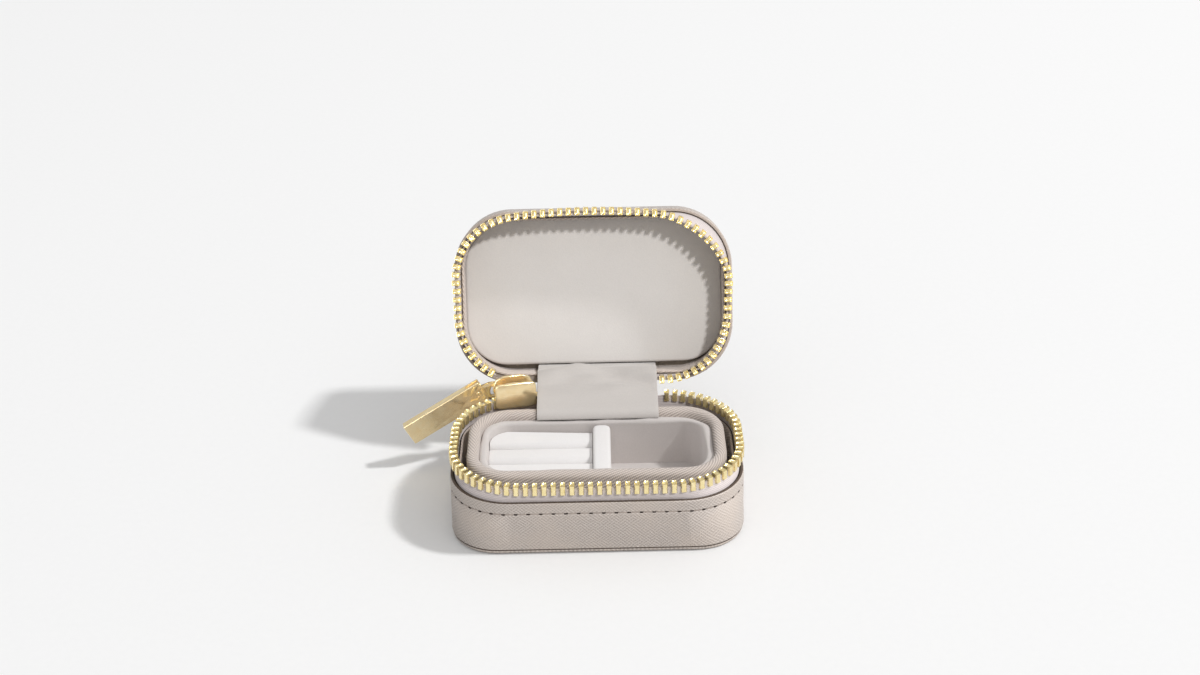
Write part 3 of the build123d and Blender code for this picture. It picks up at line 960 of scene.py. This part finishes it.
# ------------------------------------------------------------------ slider and pull
def slider_place():
    """Where the slider is parked: on the zip's line, a little way round the back left corner."""
    centre = (-(ZIP_X - ZIP_RADIUS) - ZIP_RADIUS * math.sin(SLIDER_TURN),
              ZIP_Y - ZIP_RADIUS + ZIP_RADIUS * math.cos(SLIDER_TURN))
    return shift(centre[0], centre[1], PARTING) @ Matrix.Rotation(SLIDER_TURN, 4, "Z")


def slider_plate(near, far, radius, steps):
    """One plate of the slider, rounded all over."""
    ob = block("plate", (6.0, 4.0, radius), -far, -near, steps)
    pick(ob, "EDGE", lambda e: level(-far)(e) or level(-near)(e))
    soften(0.3, 3)
    close(ob)
    return place(ob, shift(z=1.0) @ Matrix.Rotation(math.pi / 2, 4, "X"))


def slider_lip():
    """A lip along the outer plate's edge, narrower where it ends."""
    ob = cube("lip", (-3.6, -2.6, 4.1), (2.8, -1.5, 4.75))
    pick(ob, "VERT", lambda v: v.co.y > -1.51)
    bpy.ops.transform.resize(value=(0.45, 1, 0.7), center_override=(-1.2, -1.5, 4.425))
    close(ob)
    break_edges(ob, 0.15, 2, 35)
    return ob


def slider_body():
    """Outer and inner plate, the neck between them at the mouth, and the lip."""
    neck = close(cube("neck", (-5.2, -2.6, -0.2), (-2.8, 1.8, 0.2)))
    plates = [slider_plate(-3.3, -2.4, 1.5, 6), slider_plate(1.55, 2.45, 3.4, 2)]
    return join("slider", [*plates, neck, slider_lip()])


def smoothed_copy(node, width):
    """A merged copy of a CAD node, in millimetres, with its edges broken."""
    ob = bpy.data.objects.new(node + "_copy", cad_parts[node].data.copy())
    bpy.context.scene.collection.objects.link(ob)
    place(ob, Matrix.Scale(1 / MM, 4))
    edit(ob)
    bpy.ops.mesh.select_all(action="SELECT")
    bpy.ops.mesh.remove_doubles(threshold=0.002)
    bpy.ops.mesh.dissolve_limited(angle_limit=math.radians(1.0))
    close(ob)
    ob.data.materials.clear()
    break_edges(ob, width, 2, 35)
    return ob


# ------------------------------------------------------------------ add-on
class CaseSizes(bpy.types.PropertyGroup):
    """Sizes and strengths that a user may change"""
    stitch_pitch: bpy.props.FloatProperty(
        name="Stitch pitch", description="From one needle hole to the next", default=3.4 * MM,
        min=1.5 * MM, unit="LENGTH", subtype="DISTANCE")
    tooth_pitch: bpy.props.FloatProperty(
        name="Tooth pitch", description="From one zip tooth to the next", default=2.5 * MM,
        min=1.6 * MM, unit="LENGTH", subtype="DISTANCE")
    key_power: bpy.props.FloatProperty(
        name="Key light", description="Power of the light that gives the floor its shadow",
        default=184.0, min=0.0, unit="POWER")
    front_power: bpy.props.FloatProperty(
        name="Front light", description="Power of the light that shines into the lid",
        default=232.0, min=0.0, unit="POWER")


class CaseColours(bpy.types.PropertyGroup):
    """Colours that a user may change"""
    studio_white: bpy.props.FloatVectorProperty(
        name="Studio", description="Colour of the studio's even light", default=linear("ffffff")[:3],
        size=3, subtype="COLOR", min=0.0, max=1.0)


HALVES = (("base", 0.0), ("lid", PARTING - LID_HEIGHT))    # and the height of each one's end


def half_place(side):
    """The lid's pieces are turned up and open, and the base's stay where they are."""
    return lid_place() if side == "lid" else None


class CASE_OT_leather(bpy.types.Operator):
    """Leather walls, bottom and top"""
    bl_idname = "case.leather"
    bl_label = "Leather shell"

    def execute(self, context):
        for side, end in HALVES:
            leather = [finish("leather"), finish(f"{side}_edge")]
            for part, cover in (("wall", wall_cover), ("end", end_cover)):
                ready(squarer(cover(end), end), f"{side}_{part}_leather", leather, side,
                      [f"{side}_{part}_cover"], half_place(side))
        return {"FINISHED"}


class CASE_OT_lining(bpy.types.Operator):
    """Twill lining inside both walls"""
    bl_idname = "case.lining"
    bl_label = "Wall lining"

    def execute(self, context):
        for side, end in HALVES:
            ready(wall_lining(end), f"{side}_lining", finish("lining"), side,
                  [f"{side}_wall_lining"], half_place(side))
        return {"FINISHED"}


class CASE_OT_stitching(bpy.types.Operator):
    """Stitches and needle holes round both walls"""
    bl_idname = "case.stitching"
    bl_label = "Stitching"

    def execute(self, context):
        pitch = round(context.scene.case_sizes.stitch_pitch / MM, 4)
        for side, end in HALVES:
            ready(squarer(stitches(pitch), end), f"{side}_thread", finish("thread"), side,
                  [f"{side}_stitches"], half_place(side))
            ready(squarer(needle_holes(pitch), end), f"{side}_needle_holes", finish("needle"), side,
                  [], half_place(side))
        return {"FINISHED"}


class CASE_OT_zip(bpy.types.Operator):
    """Zip tapes and rows of teeth"""
    bl_idname = "case.zip"
    bl_label = "Zip"

    def execute(self, context):
        pitch = round(context.scene.case_sizes.tooth_pitch / MM, 4)
        last = outline_length(ZIP_LINE) - ZIP_STOP - 0.625
        slider_arc = ZIP_X - ZIP_RADIUS + ZIP_RADIUS * SLIDER_TURN
        lid_start = slider_place().translation.x - SLIDER_REACH
        ready(zip_tape(-FIRST_TAPE, ZIP_STOP), "base_tape", finish("tape"), "base",
              ["base_zip_tape"])
        ready(zip_tape(-ZIP_STOP, -lid_start, relaxed=True), "lid_tape", finish("tape"), "lid",
              ["lid_zip_tape"], lid_place())
        ready(zip_teeth(FIRST_TOOTH, last, pitch), "base_teeth", finish("teeth"), "base",
              ["base_zip_teeth"])
        ready(zip_teeth(slider_arc + SLIDER_REACH, last, pitch, mirror=-1), "lid_teeth",
              finish("teeth"), "lid", ["lid_zip_teeth"], lid_place())
        return {"FINISHED"}


class CASE_OT_insert(bpy.types.Operator):
    """Collar, tray, divider, ring rolls and floor pad"""
    bl_idname = "case.insert"
    bl_label = "Insert"

    def execute(self, context):
        ready(collar_cover(), "collar_twill", finish("twill"), "base", ["collar_cover"])
        ready(tray_liner(), "tray_suede", finish("tray"), "base", ["tray_liner"])
        velvet, suede = ("velvet", "velvet"), ("tray", "suede")
        pads = [("divider_velvet", divider(), velvet, "tray_divider", 0.9)]
        for number, name in enumerate(("front", "middle", "rear")):
            pads.append((f"roll_{name}", ring_roll(number), velvet, f"ring_roll_{name}", 0.85))
        pads.append(("floor_pad_suede", floor_pad(), suede, "tray_floor_pad", 0.7))
        for name, pad, (look, slot), node, fill in pads:
            ready(pad, name, finish(look), "base", [node])
        return {"FINISHED"}


class CASE_OT_lid_panel(bpy.types.Operator):
    """Padded panel inside the lid"""
    bl_idname = "case.lid_panel"
    bl_label = "Lid panel"

    def execute(self, context):
        ready(lid_panel(), "lid_panel_suede", finish("suede"), "lid",
                        ["lid_panel_pad"], lid_place())
        return {"FINISHED"}


class CASE_OT_hinge(bpy.types.Operator):
    """Suede stay and leather spine between base and lid"""
    bl_idname = "case.hinge"
    bl_label = "Hinge"

    def execute(self, context):
        ob, length = strap("stay", stay_path(), STAY_WIDTH, STAY_X, 0.8, ripple=stay_ripple)
        stay = ready(ob, "stay_suede", finish("stay"), None, ["hinge_stay"])
        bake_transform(stay)
        ob, length = strap("spine", spine_path(), 32.4, 0.0, LEATHER, across=16, along=24)
        spine = ready(ob, "spine_leather", finish("leather"), None,
                      ["hinge_spine"])
        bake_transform(spine)
        return {"FINISHED"}


class CASE_OT_slider(bpy.types.Operator):
    """Slider, crown, link, rivet and bar"""
    bl_idname = "case.slider"
    bl_label = "Slider and pull"

    def execute(self, context):
        ready(slider_body(), "slider_plates", finish("gold"), "slider", ["slider_body"],
              slider_place())
        for node, body, width in (("slider_crown", "slider", 0.12), ("pull_link", "link", 0.2),
                                  ("pull_rivet", "link", 0.12), ("pull_bar", "pull", 0.12)):
            ready(smoothed_copy(node, width), node + "_gold", finish("gold"), body,
                  [node])
        return {"FINISHED"}


class CASE_OT_boards(bpy.types.Operator):
    """Finishes for the boards and cards inside"""
    bl_idname = "case.boards"
    bl_label = "Boards"

    def execute(self, context):
        for name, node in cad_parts.items():
            if not node.hide_render:
                node.data.materials.clear()
                hidden = "velvet" if name.startswith("ring_roll") else "card"
                node.data.materials.append(finish(hidden))
        return {"FINISHED"}


def named(*words):
    """The pieces whose names hold one of these words."""
    return [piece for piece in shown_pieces() if any(word in piece.name for word in words)]


class CASE_OT_stage(bpy.types.Operator):
    """Floor, lights and camera"""
    bl_idname = "case.stage"
    bl_label = "Stage"

    def execute(self, context):
        scene = context.scene
        bpy.ops.object.select_all(action="DESELECT")
        bpy.ops.mesh.primitive_plane_add(size=8, location=(0, 0, 0))
        floor = context.object
        floor.name = "floor"
        floor.data.materials.append(finish("floor"))
        floor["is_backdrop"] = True
        world = bpy.data.worlds.new("even_studio")
        scene.world = world
        world.use_nodes = True
        sky(world.node_tree, scene.case_colours.studio_white)
        scene.view_settings.view_transform = "Standard"
        # The key gives the floor its one shadow.  The front light shines into the lid, and the
        # insert is too deep for it.  The other two only lift the metal and the right-hand side.
        insert, sizes = ("tray", "roll", "divider", "floor"), scene.case_sizes
        light("key", (0.84, -0.05, 1.0), 6.0, 0.44, sizes.key_power)
        light("front", (0.335, -0.644, 0.685), 6.0, 0.4, sizes.front_power,
              [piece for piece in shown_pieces() if not piece.name.startswith(insert)])
        light("glint", (-0.6, -0.9, 0.3), 3.0, 2.0, 48.0, named("gold", "slider", "teeth"))
        light("side", (0.95, -0.2, 0.3), 3.0, 1.2, 30.0, named("leather", "base_tape"))
        camera(scene)
        return {"FINISHED"}


def sky(tree, white):
    """Even light from all round, brighter above than low down."""
    way = add(tree, "TexCoord").outputs["Generated"]
    height = add(tree, "SeparateXYZ", links={0: way}).outputs["Z"]
    strength = add(tree, "MapRange", {1: 0.05, 2: 0.6, 3: 0.46, 4: 0.65}, {0: height}).outputs[0]
    background = tree.nodes["Background"].inputs
    background["Color"].default_value = (*white, 1.0)
    tree.links.new(strength, background["Strength"])


def light(name, direction, distance, width, power, receivers=None):
    """A square softbox, so many metres off and wide, that lights all or only some pieces."""
    lamp = bpy.data.lights.new(name, "AREA")
    lamp.energy, lamp.size = power, width
    ob = bpy.data.objects.new(name, lamp)
    bpy.context.scene.collection.objects.link(ob)
    way = Vector(direction).normalized()
    ob.location = Vector((0, 0.02, 0.03)) + way * distance
    ob.rotation_euler = way.to_track_quat("Z", "Y").to_euler()
    if receivers:
        lit = bpy.data.collections.new(name + "_receivers")
        for piece in receivers:
            lit.objects.link(piece)
        ob.light_linking.receiver_collection = lit


def camera(scene):
    """A long lens, a little above, as one would look into the case."""
    lens = bpy.data.cameras.new("camera")
    lens.sensor_width, lens.lens = 36.0, 55.46
    lens.clip_start, lens.clip_end = 0.02, 20.0
    ob = bpy.data.objects.new("camera", lens)
    scene.collection.objects.link(ob)
    rise, turn, roll = math.radians(28.37), math.radians(0.09), math.radians(-1.23)
    back = Vector((math.sin(turn) * math.cos(rise), -math.cos(turn) * math.cos(rise), math.sin(rise)))
    right = Vector((math.cos(turn), math.sin(turn), 0))
    up = back.cross(right)
    x = right * math.cos(roll) + up * math.sin(roll)
    y = up * math.cos(roll) - right * math.sin(roll)
    pose = Matrix((x, y, back)).transposed().to_4x4()
    looked_at, distance = Vector((1.64, 0, 53.25)), 503.1
    pose.translation = (looked_at + back * distance) * MM
    ob.matrix_world = pose
    scene.camera = ob


OPERATORS = (CASE_OT_leather, CASE_OT_lining, CASE_OT_stitching, CASE_OT_zip, CASE_OT_insert,
             CASE_OT_lid_panel, CASE_OT_hinge, CASE_OT_slider, CASE_OT_boards, CASE_OT_stage)


class CASE_PT_panel(bpy.types.Panel):
    """Lists the case's sizes, colours and operators"""
    bl_label = "Jewelry case"
    bl_idname = "CASE_PT_panel"
    bl_space_type = "VIEW_3D"
    bl_region_type = "UI"
    bl_category = "Jewelry case"

    def draw(self, context):
        for group in (context.scene.case_sizes, context.scene.case_colours):
            for key in group.__annotations__:
                self.layout.prop(group, key)
        for operator in OPERATORS:
            self.layout.operator(operator.bl_idname)


CLASSES = (CaseSizes, CaseColours, *OPERATORS, CASE_PT_panel)


def register():
    """Adds the classes, and the scene's own sizes and colours."""
    for item in CLASSES:
        bpy.utils.register_class(item)
    bpy.types.Scene.case_sizes = bpy.props.PointerProperty(type=CaseSizes)
    bpy.types.Scene.case_colours = bpy.props.PointerProperty(type=CaseColours)


def unregister():
    """Takes them away again."""
    del bpy.types.Scene.case_colours
    del bpy.types.Scene.case_sizes
    for item in reversed(CLASSES):
        bpy.utils.unregister_class(item)


def main():
    register()
    for operator in OPERATORS:
        group, name = operator.bl_idname.split(".")
        getattr(getattr(bpy.ops, group), name)()


if __name__ == "__main__":
    main()
